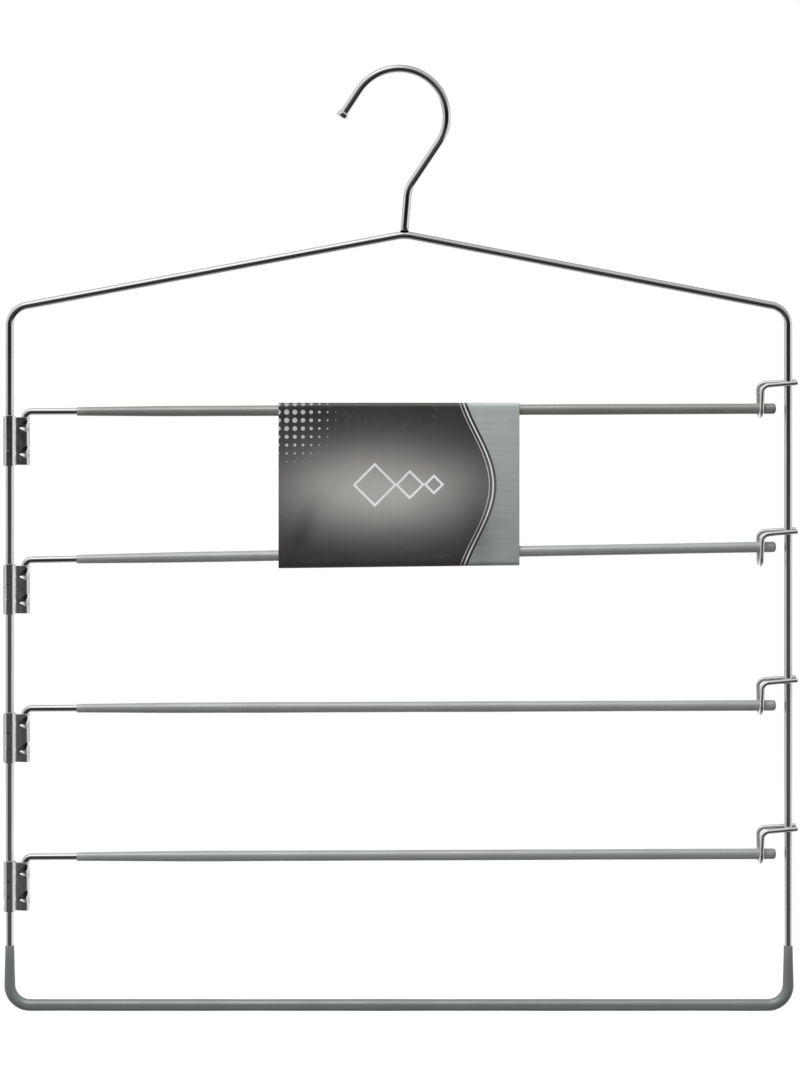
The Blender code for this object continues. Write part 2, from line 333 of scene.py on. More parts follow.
# Fine lines along a drawn wire or a brushed sheet: noise stretched along one direction
def buildLines(group, given, detail=3.0, roughness=0.65, low=0.3, high=0.7):
    part = addNode(group, "SeparateXYZ", {0: given["Place"]}).outputs
    stretched = addNode(group, "CombineXYZ", {
        k: calc(group, "MULTIPLY", part[k], given[scale])
        for k, scale in enumerate(("Along", "Across", "Across"))}).outputs[0]
    return softStep(group, noise(group, stretched, 1.0, detail, roughness), low, high)


# Marks of handling: sparse spots and short scuffs where a wide and a fine noise are high together
def buildMarks(group, given, wideShare=0.12, wideDetail=2.0, wideStep=(0.42, 0.68),
               fineDetail=4.0, fineRoughness=0.7, fineStep=(0.5, 0.72)):
    wideScale = calc(group, "MULTIPLY", given["Scale"], wideShare)
    wide = noise(group, given["Place"], wideScale, wideDetail)
    fine = noise(group, given["Place"], given["Scale"], fineDetail, fineRoughness)
    both = calc(group, "MULTIPLY", softStep(group, wide, *wideStep), softStep(group, fine, *fineStep))
    return calc(group, "MULTIPLY", both, given["Cover"])


# Slow change of tone over a surface, between 0 and 1
def buildTone(group, given, detail=3.0, roughness=0.55, low=0.25, high=0.75):
    return softStep(group, noise(group, given["Place"], given["Scale"], detail, roughness), low, high)


drawnLines = newGroup("drawnLines", ("Along", "Across"), "Lines", buildLines)
handlingMarks = newGroup("handlingMarks", ("Scale", "Cover"), "Marks", buildMarks)
slowMottle = newGroup("slowMottle", ("Scale",), "Tone", buildTone)


def newFinish(name):
    finish = bpy.data.materials.new(name)
    finish.use_nodes = True
    tree = finish.node_tree
    return finish, tree, tree.nodes["Principled BSDF"], addNode(tree, "TexCoord").outputs


# Slow tone and marks of handling on a surface
def wearMarks(tree, place, toneScale, scuffScale, cover):
    return (placeGroup(tree, slowMottle, Place=place, Scale=toneScale),
            placeGroup(tree, handlingMarks, Place=place, Scale=scuffScale, Cover=cover))


# Bright chrome: drawing lines in the roughness and the bump, dull marks of handling, a brownish
# bloom where a weld's mark is high, and where the mark is above 1 burnt black, painted shade of a weld's
# crease
def chromeFinish(name, plate=0.80, dull=0.45, rough=0.055, lines=0.05, lineDepth=0.00002, bump=0.35,
                 alongScale=25.0, acrossScale=70.0, toneScale=45.0, toneDeep=0.95, toneWarm=0.004,
                 scuffScale=700.0, scuffCover=0.5, scuffShare=0.5, scuffRough=0.22, bloomTone=(0.1, 0.9),
                 bloomShare=(0.12, 0.32), bloomColour=(0.42, 0.36, 0.30, 1), bloomRough=0.30,
                 burntShadeMark=(1.0, 1.8), burntShadeColour=(0.006, 0.005, 0.004, 1), burntShadeRough=0.60):
    finish, tree, shader, place = newFinish(name)
    drawn = placeGroup(tree, drawnLines, Place=place["UV"], Along=alongScale, Across=acrossScale)
    tone, scuffs = wearMarks(tree, place["Object"], toneScale, scuffScale, scuffCover)
    mark = pointMark(tree, "weldMark")
    bloom = calc(tree, "MULTIPLY", mark, softStep(tree, tone, *bloomTone, *bloomShare))
    # Above a mark of 1 the colour goes near black: burnt metal and painted shade of the weld's crease
    burntShade = softStep(tree, mark, *burntShadeMark)
    bright = mixColour(tree, tone, grey(plate, toneWarm), grey(plate * toneDeep, -toneWarm))
    worn = mixColour(tree, scuffs, bright, grey(dull), scuffShare)
    bloomed = mixColour(tree, bloom, worn, bloomColour)
    fillSockets(tree, shader, {
        "Base Color": mixColour(tree, burntShade, bloomed, burntShadeColour), "Metallic": 1.0,
        "Roughness": addShares(tree, rough, (drawn, lines), (scuffs, scuffRough), (bloom, bloomRough),
                               (burntShade, burntShadeRough)),
        "Normal": bumpFrom(tree, drawn, bump, lineDepth)})
    return finish


# Satin grey coat: slow mottling, a fine orange peel in the bump and a paler, thinner mouth
def coatFinish(name, base, mouthTone, rough=0.34, peelScale=2600.0, peelDetail=2.0, peelDepth=0.00004,
               bump=0.5, toneScale=38.0, toneDeep=0.9, toneRough=0.08, scuffScale=420.0, scuffCover=0.5,
               scuffShare=0.35, scuffPale=1.35, scuffRough=0.1, mouthShare=0.6):
    finish, tree, shader, place = newFinish(name)
    tone, scuffs = wearMarks(tree, place["Object"], toneScale, scuffScale, scuffCover)
    body = mixColour(tree, tone, base, scaled(base, toneDeep))
    rubbed = mixColour(tree, scuffs, body, scaled(base, scuffPale), scuffShare)
    peel = noise(tree, place["Object"], peelScale, peelDetail)
    fillSockets(tree, shader, {
        "Base Color": mixColour(tree, pointMark(tree, "thin"), rubbed, mouthTone, mouthShare),
        "Roughness": addShares(tree, rough, (scuffs, scuffRough), (tone, toneRough)),
        "Normal": bumpFrom(tree, peel, bump, peelDepth)})
    return finish


frameChrome = chromeFinish("frameChrome")
armChrome = chromeFinish("armChrome", plate=0.82)
catchChrome = chromeFinish("catchChrome", plate=0.94, rough=0.27, acrossScale=45.0)
bracketChrome = chromeFinish("bracketChrome", plate=0.78, rough=0.07, lines=0.04, alongScale=900.0,
                             acrossScale=90.0, scuffCover=0.8)
greyCoat = coatFinish("greyCoat", (0.270, 0.286, 0.280, 1), (0.36, 0.365, 0.36, 1))
# A darker copy of the grey coat for the top arm: painted shade for the weaker light up there
shadedTopCoat = coatFinish("shadedTopCoat", (0.188, 0.190, 0.177, 1), (0.30, 0.30, 0.29, 1))
deepCoat = coatFinish("deepCoat", (0.158, 0.175, 0.174, 1), (0.26, 0.27, 0.265, 1))
print("chrome and coat finishes made")


# Frame loop: one wire through apex, shoulders, uprights and bottom bar, closed in the bottom bar
frameWire = {"radius": 0.0020, "shoulderDrop": 0.0363, "cornerRadius": 0.0100, "apexRadius": 0.0200,
             "apexShift": 0.0027, "sides": 32, "step": 0.006, "weldReach": 0.004}
frameRadius, (low, high) = frameWire["radius"], cadSpan("frame_loop")
uprightX = (high[0] - low[0]) / 2 - frameRadius
bottomZ, apexTop = low[2] + frameRadius, high[2] - frameRadius
shoulderSlope = math.atan(frameWire["shoulderDrop"] / uprightX)
apexZ = apexTop + frameWire["apexRadius"] * (1 / math.cos(shoulderSlope) - 1)
shoulderZ = apexZ - frameWire["shoulderDrop"]
crown = np.array([frameWire["apexShift"], 0, apexTop + frameRadius])


def makeFrame():
    corners = [(0, 0, bottomZ), (uprightX, 0, bottomZ), (uprightX, 0, shoulderZ),
               (frameWire["apexShift"], 0, apexZ), (-uprightX, 0, shoulderZ),
               (-uprightX, 0, bottomZ), (0, 0, bottomZ)]
    corner = frameWire["cornerRadius"]
    path = bentPath(corners, [corner, corner, frameWire["apexRadius"], corner, corner])
    total = pathLengths(path)[-1]
    stations = ringStations(path, 0, total, frameWire["step"])[:-1]
    piece, rings = roundBar("frameWire", path, stations, frameRadius, frameWire["sides"], total)
    welds = [crown] + [weld for tier in tiers for weld in catchWelds(tier)]
    markWelds(piece, rings, welds, frameWire["weldReach"])
    fitPiece(piece, frameChrome, "frame", "frame_chrome", "frame_loop")


# Hook: button head, straight lead, bow round the rail, straight tail, neck and foot on the apex
hookWire = {"radius": 0.0020, "bowRadius": 0.0234, "bowPoints": 90, "leadAngle": 146.5, "lead": 0.0130,
            "tailAngle": -33.8, "tail": 0.0269, "neckRadius": 0.0150, "footGap": 0.00012,
            "headRadius": 0.0028, "headLength": 0.0034, "headDome": 0.45, "headPower": 2.6, "headNeck": 0.74,
            "headStart": 0.02, "headRings": 26, "headApart": 0.0003, "sides": 32, "step": 0.004}


# Radius of the button head: a superellipse dome in front, full round, then an eased neck to the wire
def headRadii(share):
    power = hookWire["headPower"]
    dome = (1 - (1 - np.clip(share / hookWire["headDome"], 0, 1)) ** power) ** (1 / power)
    neck = ease(hookWire["headNeck"], 1.0, share)
    return hookWire["headRadius"] * dome * (1 - neck) + hookWire["radius"] * neck


def makeHook():
    wire, radius, bow = hookWire, hookWire["radius"], hookWire["bowRadius"]
    leadAngle, tailAngle = math.radians(wire["leadAngle"]), math.radians(wire["tailAngle"])
    angle = np.linspace(leadAngle, tailAngle, wire["bowPoints"])
    arc = np.stack([bow * np.cos(angle), 0 * angle, radius - bow + bow * np.sin(angle)], 1)
    lead = np.array([-math.sin(leadAngle), 0, math.cos(leadAngle)])
    tail = np.array([math.sin(tailAngle), 0, -math.cos(tailAngle)])
    tip = arc[0] + lead * (wire["lead"] + wire["headLength"])
    foot = crown + (0, 0, wire["footGap"])
    neck = bentPath([arc[-1], arc[-1] + tail * wire["tail"], foot], [wire["neckRadius"]])
    path = np.vstack([tip, arc, neck[1:]])
    headShare = (1 - np.cos(np.linspace(wire["headStart"], math.pi, wire["headRings"]))) / 2
    behind = ringStations(path, wire["headLength"] + wire["headApart"], pathLengths(path)[-1], wire["step"])
    stations = np.concatenate([headShare * wire["headLength"], behind])
    radii = np.concatenate([headRadii(headShare), np.full(len(behind), radius)])
    piece, rings = roundBar("hookWire", path, stations, radii, wire["sides"])
    markWelds(piece, rings, [foot], frameWire["weldReach"])
    fitPiece(piece, frameChrome, "frame", "frame_chrome", "hook")


# Weld of the hook: a bead, a quadratic curve from the apex wire's saddle to the hook's rim, burnt and painted
# near black as shade of the crease under the hook's foot
hookWeld = {"high": 0.00036, "inset": 0.00045, "wide": 0.00012, "sink": 0.00006, "bulge": 0.00015,
            "lap": 0.00003, "ripples": ((3, 0.10, 0.7), (7, 0.06, 0)), "mark": 1.8, "sides": 40, "rows": 9}


def makeHookWeld():
    weld, radius = hookWeld, hookWire["radius"]
    turn = ringAngles(weld["sides"])
    def ringAt(wide, deep, z):
        return np.stack([crown[0] + wide * np.cos(turn), -deep * np.sin(turn), z + 0 * turn], 1)
    wide, deep = radius + weld["wide"], radius - weld["inset"]
    bulge, lap = radius + weld["bulge"], radius + weld["lap"]
    saddle = apexTop + np.sqrt(frameRadius ** 2 - (deep * np.sin(turn)) ** 2)
    saddle = saddle - (wide * np.cos(turn)) ** 2 / (2 * frameWire["apexRadius"])
    base, bend = ringAt(wide, deep, saddle - weld["sink"]), ringAt(bulge, bulge, crown[2])
    top = ringAt(lap, lap, crown[2] + weld["high"] * (1 + sumOfSines(turn, weld["ripples"])))
    t = np.linspace(0, 1, weld["rows"])[:, None, None]
    rings = (1 - t) ** 2 * base + 2 * t * (1 - t) * bend + t ** 2 * top
    piece = skinRings("hookWeld", rings, roundUv(t.ravel() * weld["high"], weld["sides"]))
    # A mark above 1 paints the whole bead near black: painted shade of the crease, as well as burnt metal
    markPoints(piece, "weldMark", np.full(rings.shape[:2], weld["mark"]))
    fitPiece(piece, frameChrome, "frame", "frame_chrome")


# Lip of a coat: lengths and radii of the half circle that leads from its bore to its outside
def coatLip(bore, lip, points=7):
    angle = np.linspace(-math.pi / 2, math.pi / 2, points)
    return lip * (1 - np.cos(angle)), bore + lip + lip * np.sin(angle)


# Outer radius of a coat: an eased swell from its mouth to the full radius, with the waves of dipping
def dippedWall(coat, along, fromMouth, waves):
    swell = ease(0, coat["taper"], fromMouth) ** coat["swell"]
    wall = coat["mouthRadius"] + (coat["radius"] - coat["mouthRadius"]) * swell
    return wall + coat["waver"] * swell * sumOfSines(along, waves)


# Thinness of a coat: 1 at its mouth, eased to 0 over its thin stretch
def markThin(piece, coat, fromMouth):
    thin = 1 - ease(0, coat["thinReach"], fromMouth)
    markPoints(piece, "thin", np.repeat(thin[:, None], coat["sides"], 1))


# Bottom coat: a dipped tube on the bottom bar, thinning up both uprights to a rounded lip
bottomCoat = {"radius": 0.0029, "mouthRadius": 0.0022, "bore": 0.00206, "boreInset": 0.001,
              "boreStep": 0.012, "taper": 0.034, "swell": 0.8, "lip": 0.00014, "thinReach": 0.006,
              "waver": 0.00003, "waves": ((61, 1.0, 0), (143, 0.6, 1)), "sides": 32, "step": 0.004}


def makeBottomCoat():
    coat, lip = bottomCoat, bottomCoat["lip"]
    topZ = cadSpan("bottom_bar_sleeve")[1][2]
    corners = [(uprightX, 0, topZ), (uprightX, 0, bottomZ), (-uprightX, 0, bottomZ), (-uprightX, 0, topZ)]
    path = bentPath(corners, [frameWire["cornerRadius"]] * 2)
    total = pathLengths(path)[-1]
    outer = ringStations(path, 2 * lip, total - 2 * lip, coat["step"])
    inner = ringStations(path, coat["boreInset"], total - coat["boreInset"], coat["boreStep"])[::-1]
    wall = dippedWall(coat, outer, np.minimum(outer, total - outer), coat["waves"])
    lipIn, lipRadii = coatLip(coat["bore"], lip / 2)
    stations = np.concatenate([lipIn, outer, total - lipIn[::-1], inner])
    radii = np.concatenate([lipRadii, wall, lipRadii[::-1], np.full(len(inner), coat["bore"])])
    piece = roundBar("bottomCoat", path, stations, radii, coat["sides"], 0)[0]
    markThin(piece, coat, np.minimum(stations, total - stations))
    fitPiece(piece, deepCoat, "frame", "grey_coat", "bottom_bar_sleeve")


# Swing arms: an L-bent wire, and a dipped coat with a closed round tip over most of its bar
armWire = {"radius": 0.0017, "bendRadius": 0.0036, "edge": 0.0003, "sides": 28, "step": 0.006}
armCoat = {"radius": 0.0026, "mouthRadius": 0.00212, "bore": 0.00176, "boreRings": 40, "taper": 0.060,
           "swell": 0.7, "lip": 0.00018, "thinReach": 0.004, "tipRadius": 0.0015, "tipRoom": 0.0002,
           "tipPoints": 9, "waver": 0.000025, "waves": ((52, 1.0, 1), (121, 0.7, 3)),
           "sides": 28, "step": 0.005}


def armEnds(tier):
    pin = pins[f"arm_{tier}"]
    low, high = cadSpan(f"swing_arm_{tier}")
    tip = np.array([high[0], 0, high[2] - armWire["radius"]])
    foot = np.array([pin[0], 0, low[2]])
    return foot, pin, tip


def makeArm(tier):
    foot, pin, tip = armEnds(tier)
    path = bentPath([foot, pin, tip], [armWire["bendRadius"]])
    stations, radii = cutBar(path, armWire["radius"], armWire["edge"], armWire["step"])
    piece = roundBar(f"armWire{tier}", path, stations, radii, armWire["sides"])[0]
    fitPiece(piece, armChrome, f"arm_{tier}", "arm_chrome", f"swing_arm_{tier}")


# The waves' phases differ from tier to tier, and the top arm's coat is a darker copy, painted shade for the
# weaker light up there
def makeArmCoat(tier):
    coat, lip, tipRound = armCoat, armCoat["lip"], armCoat["tipRadius"]
    pin, wireTip = armEnds(tier)[1:]
    low, high = cadSpan(f"arm_sleeve_{tier}")
    ahead = unit(wireTip - pin)
    mouth, tip = (pin + ahead * (x - pin[0]) / ahead[0] for x in (low[0], high[0]))
    path = np.stack([mouth, tip])
    total = np.linalg.norm(tip - mouth)
    boreEnd = total - np.linalg.norm(tip - wireTip) + coat["tipRoom"]
    lipIn, lipRadii = coatLip(coat["bore"], lip)
    outer = ringStations(path, 2 * lip, total - tipRound, coat["step"])
    wall = dippedWall(coat, outer, outer, [(rate, size, tier * phase) for rate, size, phase in coat["waves"]])
    angle = np.linspace(0, math.pi / 2, coat["tipPoints"])[1:]
    dome = wall[-1] - tipRound + tipRound * np.cos(angle)
    inner = np.linspace(boreEnd, 2 * lip, coat["boreRings"])
    stations = np.concatenate([inner, lipIn, outer, total - tipRound + tipRound * np.sin(angle)])
    radii = np.concatenate([np.full(len(inner), coat["bore"]), lipRadii, wall, dome])
    piece = roundBar(f"armCoat{tier}", path, stations, radii, coat["sides"])[0]
    markThin(piece, coat, stations)
    finish = shadedTopCoat if tier == 1 else greyCoat
    fitPiece(piece, finish, f"arm_{tier}", "grey_coat", f"arm_sleeve_{tier}")


# Hinge brackets: a strip folded round the upright and the pin and pinched between them, with slanted
# crimps in the pin's roll and a shallow grip in front of the upright
bracket = {"sheet": 0.0007, "uprightRoll": 0.00285, "pinRoll": 0.00225, "pinch": (0.0032, 0.0009),
           "pinchBend": 0.0005, "bendStep": 6, "seamStart": 172, "seamEnd": 150, "rollPoints": 48,
           "step": 0.0003, "endRounding": 0.0014, "pinTrim": 0.0007, "edge": 0.00016, "samples": 97,
           "waver": 0.000006, "waverRates": (900, 2, 700), "insideShare": 0.25, "sharp": 50}
crimp = {"inset": 0.0060, "high": 0.0030, "depth": 0.00066, "slant": 0.22, "rise": 0.00085,
         "fromLeft": (-0.0028, -0.0012), "fromBack": (0.0004, -0.0006), "opening": (-0.0028, 0.0034),
         "narrow": 0.1, "soft": -0.15}
grip = {"high": 0.0042, "depth": 0.00016, "at": (-0.0008, -0.0012), "reach": (0.0016, 0.0006), "full": 0.75}


# Middle line of half the strip, seen from above: round the upright, along tangents to the bend at the
# pinch and on to the pin, and round the pin to its far side. A tangent from a point touches a circle
# at the point's own angle plus acos(radius / distance).
def halfStrip(pinOffset, seamAngle):
    roll, pinRoll = bracket["uprightRoll"], bracket["pinRoll"]
    pinch = np.array(bracket["pinch"])
    beyond = pinch - (pinOffset, 0)
    leave = math.atan2(pinch[1], pinch[0]) + math.acos(roll / np.linalg.norm(pinch))
    meet = math.atan2(beyond[1], beyond[0]) - math.acos(pinRoll / np.linalg.norm(beyond))
    def arc(middle, radius, start, end):
        angle = np.linspace(start, end, bracket["rollPoints"])
        return np.stack([middle + radius * np.cos(angle), radius * np.sin(angle)], 1)
    upright = arc(0, roll, math.radians(seamAngle), leave)
    pin = arc(pinOffset, pinRoll, meet, 0)
    bend = bentPath([upright[-1], pinch, pin[0]], [bracket["pinchBend"]], bracket["bendStep"])
    line = np.vstack([upright, bend[1:-1], pin])
    own = pathLengths(line)
    return readAlong(line, own, ringStations(line, 0, own[-1], bracket["step"]))


# Depth of the crimps, which widen towards the pin's side, and of the grip: full on their own lines,
# eased to nothing at their heights above and below
def bracketPress(flat, fromPin, across, halfHigh):
    x, y = fromPin, flat[:, 1]
    onPin = ease(*crimp["fromLeft"], x) * ease(*crimp["fromBack"], y)
    opened = np.clip((x - crimp["opening"][0]) / crimp["opening"][1], crimp["narrow"], 1)
    slanted = across - crimp["rise"] - crimp["slant"] * x[:, None]
    away = np.abs(np.abs(slanted) - (halfHigh - crimp["inset"]))
    notch = np.clip(1 - away / (crimp["high"] * opened)[:, None], 0, 1)
    crimps = crimp["depth"] * onPin[:, None] * ease(crimp["soft"], 1.0, notch) * (notch > 0)
    onRoll = ease(*grip["reach"], np.abs(flat[:, 0] - grip["at"][0])) * (y < 0)
    held = 1 - ease(grip["high"] * grip["full"], grip["high"], np.abs(across - grip["at"][1]))
    return crimps + grip["depth"] * onRoll[:, None] * held


def makeBracket(tier):
    pin = pins[f"arm_{tier}"]
    low, high = cadSpan(f"hinge_bracket_{tier}")
    pinOffset, middleZ, halfHigh = pin[0] + uprightX, (low[2] + high[2]) / 2, (high[2] - low[2]) / 2
    back = halfStrip(pinOffset, bracket["seamEnd"])
    front = halfStrip(pinOffset, 360 - bracket["seamStart"]) * (1, -1)
    flat = np.vstack([front, back[-2::-1]])
    line = np.stack([flat[:, 0] - uprightX, flat[:, 1], np.full(len(flat), middleZ)], 1)
    along = pathLengths(line)
    fromLeft, rounding = line[:, 0] - line[:, 0].min(), bracket["endRounding"]
    trim = rounding - np.sqrt(np.maximum(rounding ** 2 - np.maximum(rounding - fromLeft, 0) ** 2, 0))
    trim = trim + bracket["pinTrim"] * ease(bracket["pinch"][0] / 2, bracket["pinch"][0], flat[:, 0])
    rings, across, face, normal = carrySheet(line, (0, 0, 1), halfHigh - trim, bracket["sheet"],
                                             bracket["edge"], bracket["samples"])
    pressed = bracketPress(flat, line[:, 0] - pin[0], across, halfHigh)
    acrossRate, tierRate, alongRate = bracket["waverRates"]
    waver = bracket["waver"] * np.sin(across * acrossRate + tier * tierRate + along[:, None] * alongRate)
    depth = np.where(face > 0, pressed, bracket["insideShare"] * pressed) + waver
    rings = rings - normal[:, None] * depth[..., None]
    piece = skinRings(f"hingeBracket{tier}", rings, sheetUv(along[:, None], across), sharp=bracket["sharp"])
    fitPiece(piece, bracketChrome, "frame", "bracket_chrome", f"hinge_bracket_{tier}")


# Catches: a thin wire hairpin, its bow under the bar, its legs beside it and its arms on the upright;
# in each pair of values the front one comes first
catchWire = {"radius": 0.00115, "reach": 0.0133, "legY": 0.00405, "weldY": 0.00318, "bendRadius": 0.0033,
             "bendStep": 6, "climbs": (0.0015, 0.0011), "backRise": 0.0011, "legTops": (0.0004, -0.0010),
             "legFeet": (-0.0003, -0.0006), "across": (1, 0, -1), "edge": 0.00025, "weldReach": 0.003,
             "sides": 24, "step": 0.002}
nugget = {"radii": (0.0012, 0.0007, 0.0010), "ruffle": 0.06, "ruffleRates": (3, 4), "mark": 0.7,
          "poleGap": 0.08, "rows": 12, "sides": 20, "uvLength": 0.001}


# Ends of a catch's arms, the front one first, and the level of its bow
def catchEnds(tier):
    low, high = cadSpan(f"arm_catch_{tier}")
    backZ = high[2] - catchWire["radius"]
    return np.array([(high[0], -catchWire["weldY"], backZ - catchWire["backRise"]),
                     (high[0], catchWire["weldY"], backZ)]), low[2] + catchWire["radius"]


def catchWelds(tier):
    ends = catchEnds(tier)[0]
    beyond = ends[0, 0] - uprightX
    share = beyond / (beyond + catchWire["reach"])
    return [(uprightX, side * frameRadius, end[2] - climb * share)
            for side, end, climb in zip((-1, 1), ends, catchWire["climbs"])]


def makeCatch(tier):
    wire = catchWire
    (front, back), bowZ = catchEnds(tier)
    legX, legY, climbs = uprightX - wire["reach"], wire["legY"], wire["climbs"]
    tops, feet = legX + np.array(wire["legTops"]), legX + np.array(wire["legFeet"])
    corners = [front, (tops[0], -legY, front[2] - climbs[0]), (feet[0], -legY, bowZ),
               (feet[1], legY, bowZ), (tops[1], legY, back[2] - climbs[1]), back]
    path = bentPath(corners, [wire["bendRadius"], legY, legY, wire["bendRadius"]], wire["bendStep"])
    stations, radii = cutBar(path, wire["radius"], wire["edge"], wire["step"])
    piece, rings = roundBar(f"armCatch{tier}", path, stations, radii, wire["sides"], across=wire["across"])
    welds = np.array(catchWelds(tier))
    markWelds(piece, rings, welds, wire["weldReach"])
    fitPiece(piece, catchChrome, "frame", "catch_chrome", f"arm_catch_{tier}")
    for side, weld in zip(("Front", "Back"), welds):
        makeNugget(f"catchWeld{side}{tier}", weld)


# Weld nugget: an ellipsoid, radii times (sin cos, sin sin, cos) of the two angles, ruffled a little
def makeNugget(name, middle):
    polar = np.linspace(nugget["poleGap"], math.pi - nugget["poleGap"], nugget["rows"])[:, None]
    turn = ringAngles(nugget["sides"])[None]
    turnRate, polarRate = nugget["ruffleRates"]
    ruffle = 1 + nugget["ruffle"] * np.sin(turnRate * turn + polarRate * polar)
    flat = np.sin(polar)
    ball = np.stack([flat * np.cos(turn), flat * np.sin(turn), np.cos(polar) + 0 * turn], -1)
    rings = middle + ball * ruffle[..., None] * nugget["radii"]
    piece = skinRings(name, rings, roundUv(polar.ravel() * nugget["uvLength"], nugget["sides"]))
    markPoints(piece, "weldMark", np.full(rings.shape[:2], nugget["mark"]))
    fitPiece(piece, catchChrome, "frame", "catch_chrome")


makeFrame()
makeHook()
makeHookWeld()
makeBottomCoat()
print("frame, hook, weld and bottom coat made")
for tier in tiers:
    makeArm(tier)
    makeArmCoat(tier)
    makeBracket(tier)
    makeCatch(tier)
print("arms, coats, brackets and catches made")


# Sales card: one strip of board, folded over the two top bars and glued to itself at the back.
# A dent is given as x, z, angle, length, width and depth.
card = {"board": 0.00045, "flapLow": 0.026, "flapHigh": 0.044, "flapStep": 0.00056,
        "flapRamp": (0.006, 0.001), "square": 4.0, "foldPoints": 46, "lift": 0.0007, "liftMost": 1.1,
        "bow": 0.00025, "bowReach": 2.4, "edge": 0.0001, "samples": 121, "step": 0.0012, "sharp": 50,
        "printFrom": (0.55, 0.95), "frontFrom": 0.8, "frontFull": 0.999, "dentFull": 0.0003, "dentFade": 0.3,
        "dents": ((-0.049, -0.2305, 1.25, 0.016, 0.0050, 0.00030),
                  (-0.043, -0.2360, 0.3, 0.006, 0.0020, 0.00022),
                  (0.0386, -0.2275, 1.65, 0.017, 0.0070, 0.00020),
                  (0.010, -0.1895, 0.4, 0.030, 0.010, 0.00008))}


# Middle line of the strip in the YZ plane, from the inner end of the glue flap over the top bar,
# down the front, under the second bar and up the back to the outer end of the flap; both folds are
# half superellipses, radius * |cos or sin| ** (2 / square)
def cardLine(radius, topZ, bottomZ):
    def straight(y, start, end):
        z = np.linspace(start, end, max(3, int(abs(end - start) / card["step"])))
        return np.stack([np.full(len(z), y), z], 1)
    def roll(z, start, end):
        angle = np.linspace(start, end, card["foldPoints"])
        shares = np.stack([np.cos(angle), np.sin(angle)], 1)
        return (0, z) + radius * np.sign(shares) * np.abs(shares) ** (2 / card["square"])
    flapIn, flapOut = topZ - card["flapHigh"], topZ - card["flapLow"]
    rampLow, rampHigh = (flapIn - below for below in card["flapRamp"])
    rising = straight(radius, bottomZ, flapOut)
    rising[:, 0] += card["flapStep"] * ease(rampLow, rampHigh, rising[:, 1])
    over, under = roll(topZ, 0, math.pi)[:-1], roll(bottomZ, math.pi, 2 * math.pi)[:-1]
    return np.vstack([straight(radius, flapIn, topZ)[:-1], over, straight(-radius, topZ, bottomZ)[:-1],
                      under, rising])


# Soft dents of handling: the depth times e to the minus squared shares of a dent's length and width
def cardDents(x, z):
    total = 0
    for atX, atZ, angle, long, wide, depth in card["dents"]:
        along = (x - atX) * math.cos(angle) + (z - atZ) * math.sin(angle)
        beside = (z - atZ) * math.cos(angle) - (x - atX) * math.sin(angle)
        total = total + depth * np.exp(-(along / long) ** 2 - (beside / wide) ** 2)
    return total


# Finish of the card: a charcoal print with a soft glow, a brushed silver wave with pinstripes,
# a field of fading dots and three diamonds; pale board on the cut edges and inside
cardPrint = {"dark": (0.020, 0.14), "glow": (0.44, 0.035), "glowAt": (0.42, 0.47), "glowSize": (0.38, 0.27),
             "frontLow": (-0.1, 0.02), "frontHigh": (1.1, 0.98), "line": 0.84, "aspect": 1.61,
             "wave": (4.4, -0.6), "waveSwing": 0.07, "waveAt": 0.835, "waveEdge": 0.001,
             "silver": 0.36, "silverTint": (0.92, 1.0, 0.97), "sheen": (0.85, 1.10),
             "brush": 0.09, "brushAlong": 2.0, "brushAcross": 160.0,
             "stripes": ((0.014, 0.0022, 1.0), (0.030, 0.0012, 0.6)), "stripeEdge": 0.0012,
             "dotPitch": 0.034, "dotsAt": (0.04, 0.96), "dotsReach": 0.30, "dotSizes": (0.0105, -0.002),
             "dotEdge": (0.0012, -0.0006), "dotShare": 0.55, "diamondEdge": (0.0075, 0.0055),
             "diamonds": ((0.40, 0.50, 0.085), (0.545, 0.50, 0.055), (0.645, 0.50, 0.036))}
# Scuffs and slow tone are wear; the dents' dark colour is painted shade in the card's dents
cardWearAndDentShade = {"scales": (55.0, 260.0, 0.6), "scuffs": (0.18, 0.30, 0), "tone": (0.12, 0.06, 0.03),
            "dents": (0.55, 0.022, 0.08), "board": ((0.50, 0.48, 0.44, 1), (0.62, 0.60, 0.56, 1)),
            "fibreScale": 900.0, "rough": 0.42, "scuffRough": 0.2, "toneRough": 0.08, "boardRough": 0.35,
            "specular": 0.3, "tooth": (1500.0, 2.0), "bump": (0.25, 0.00003)}


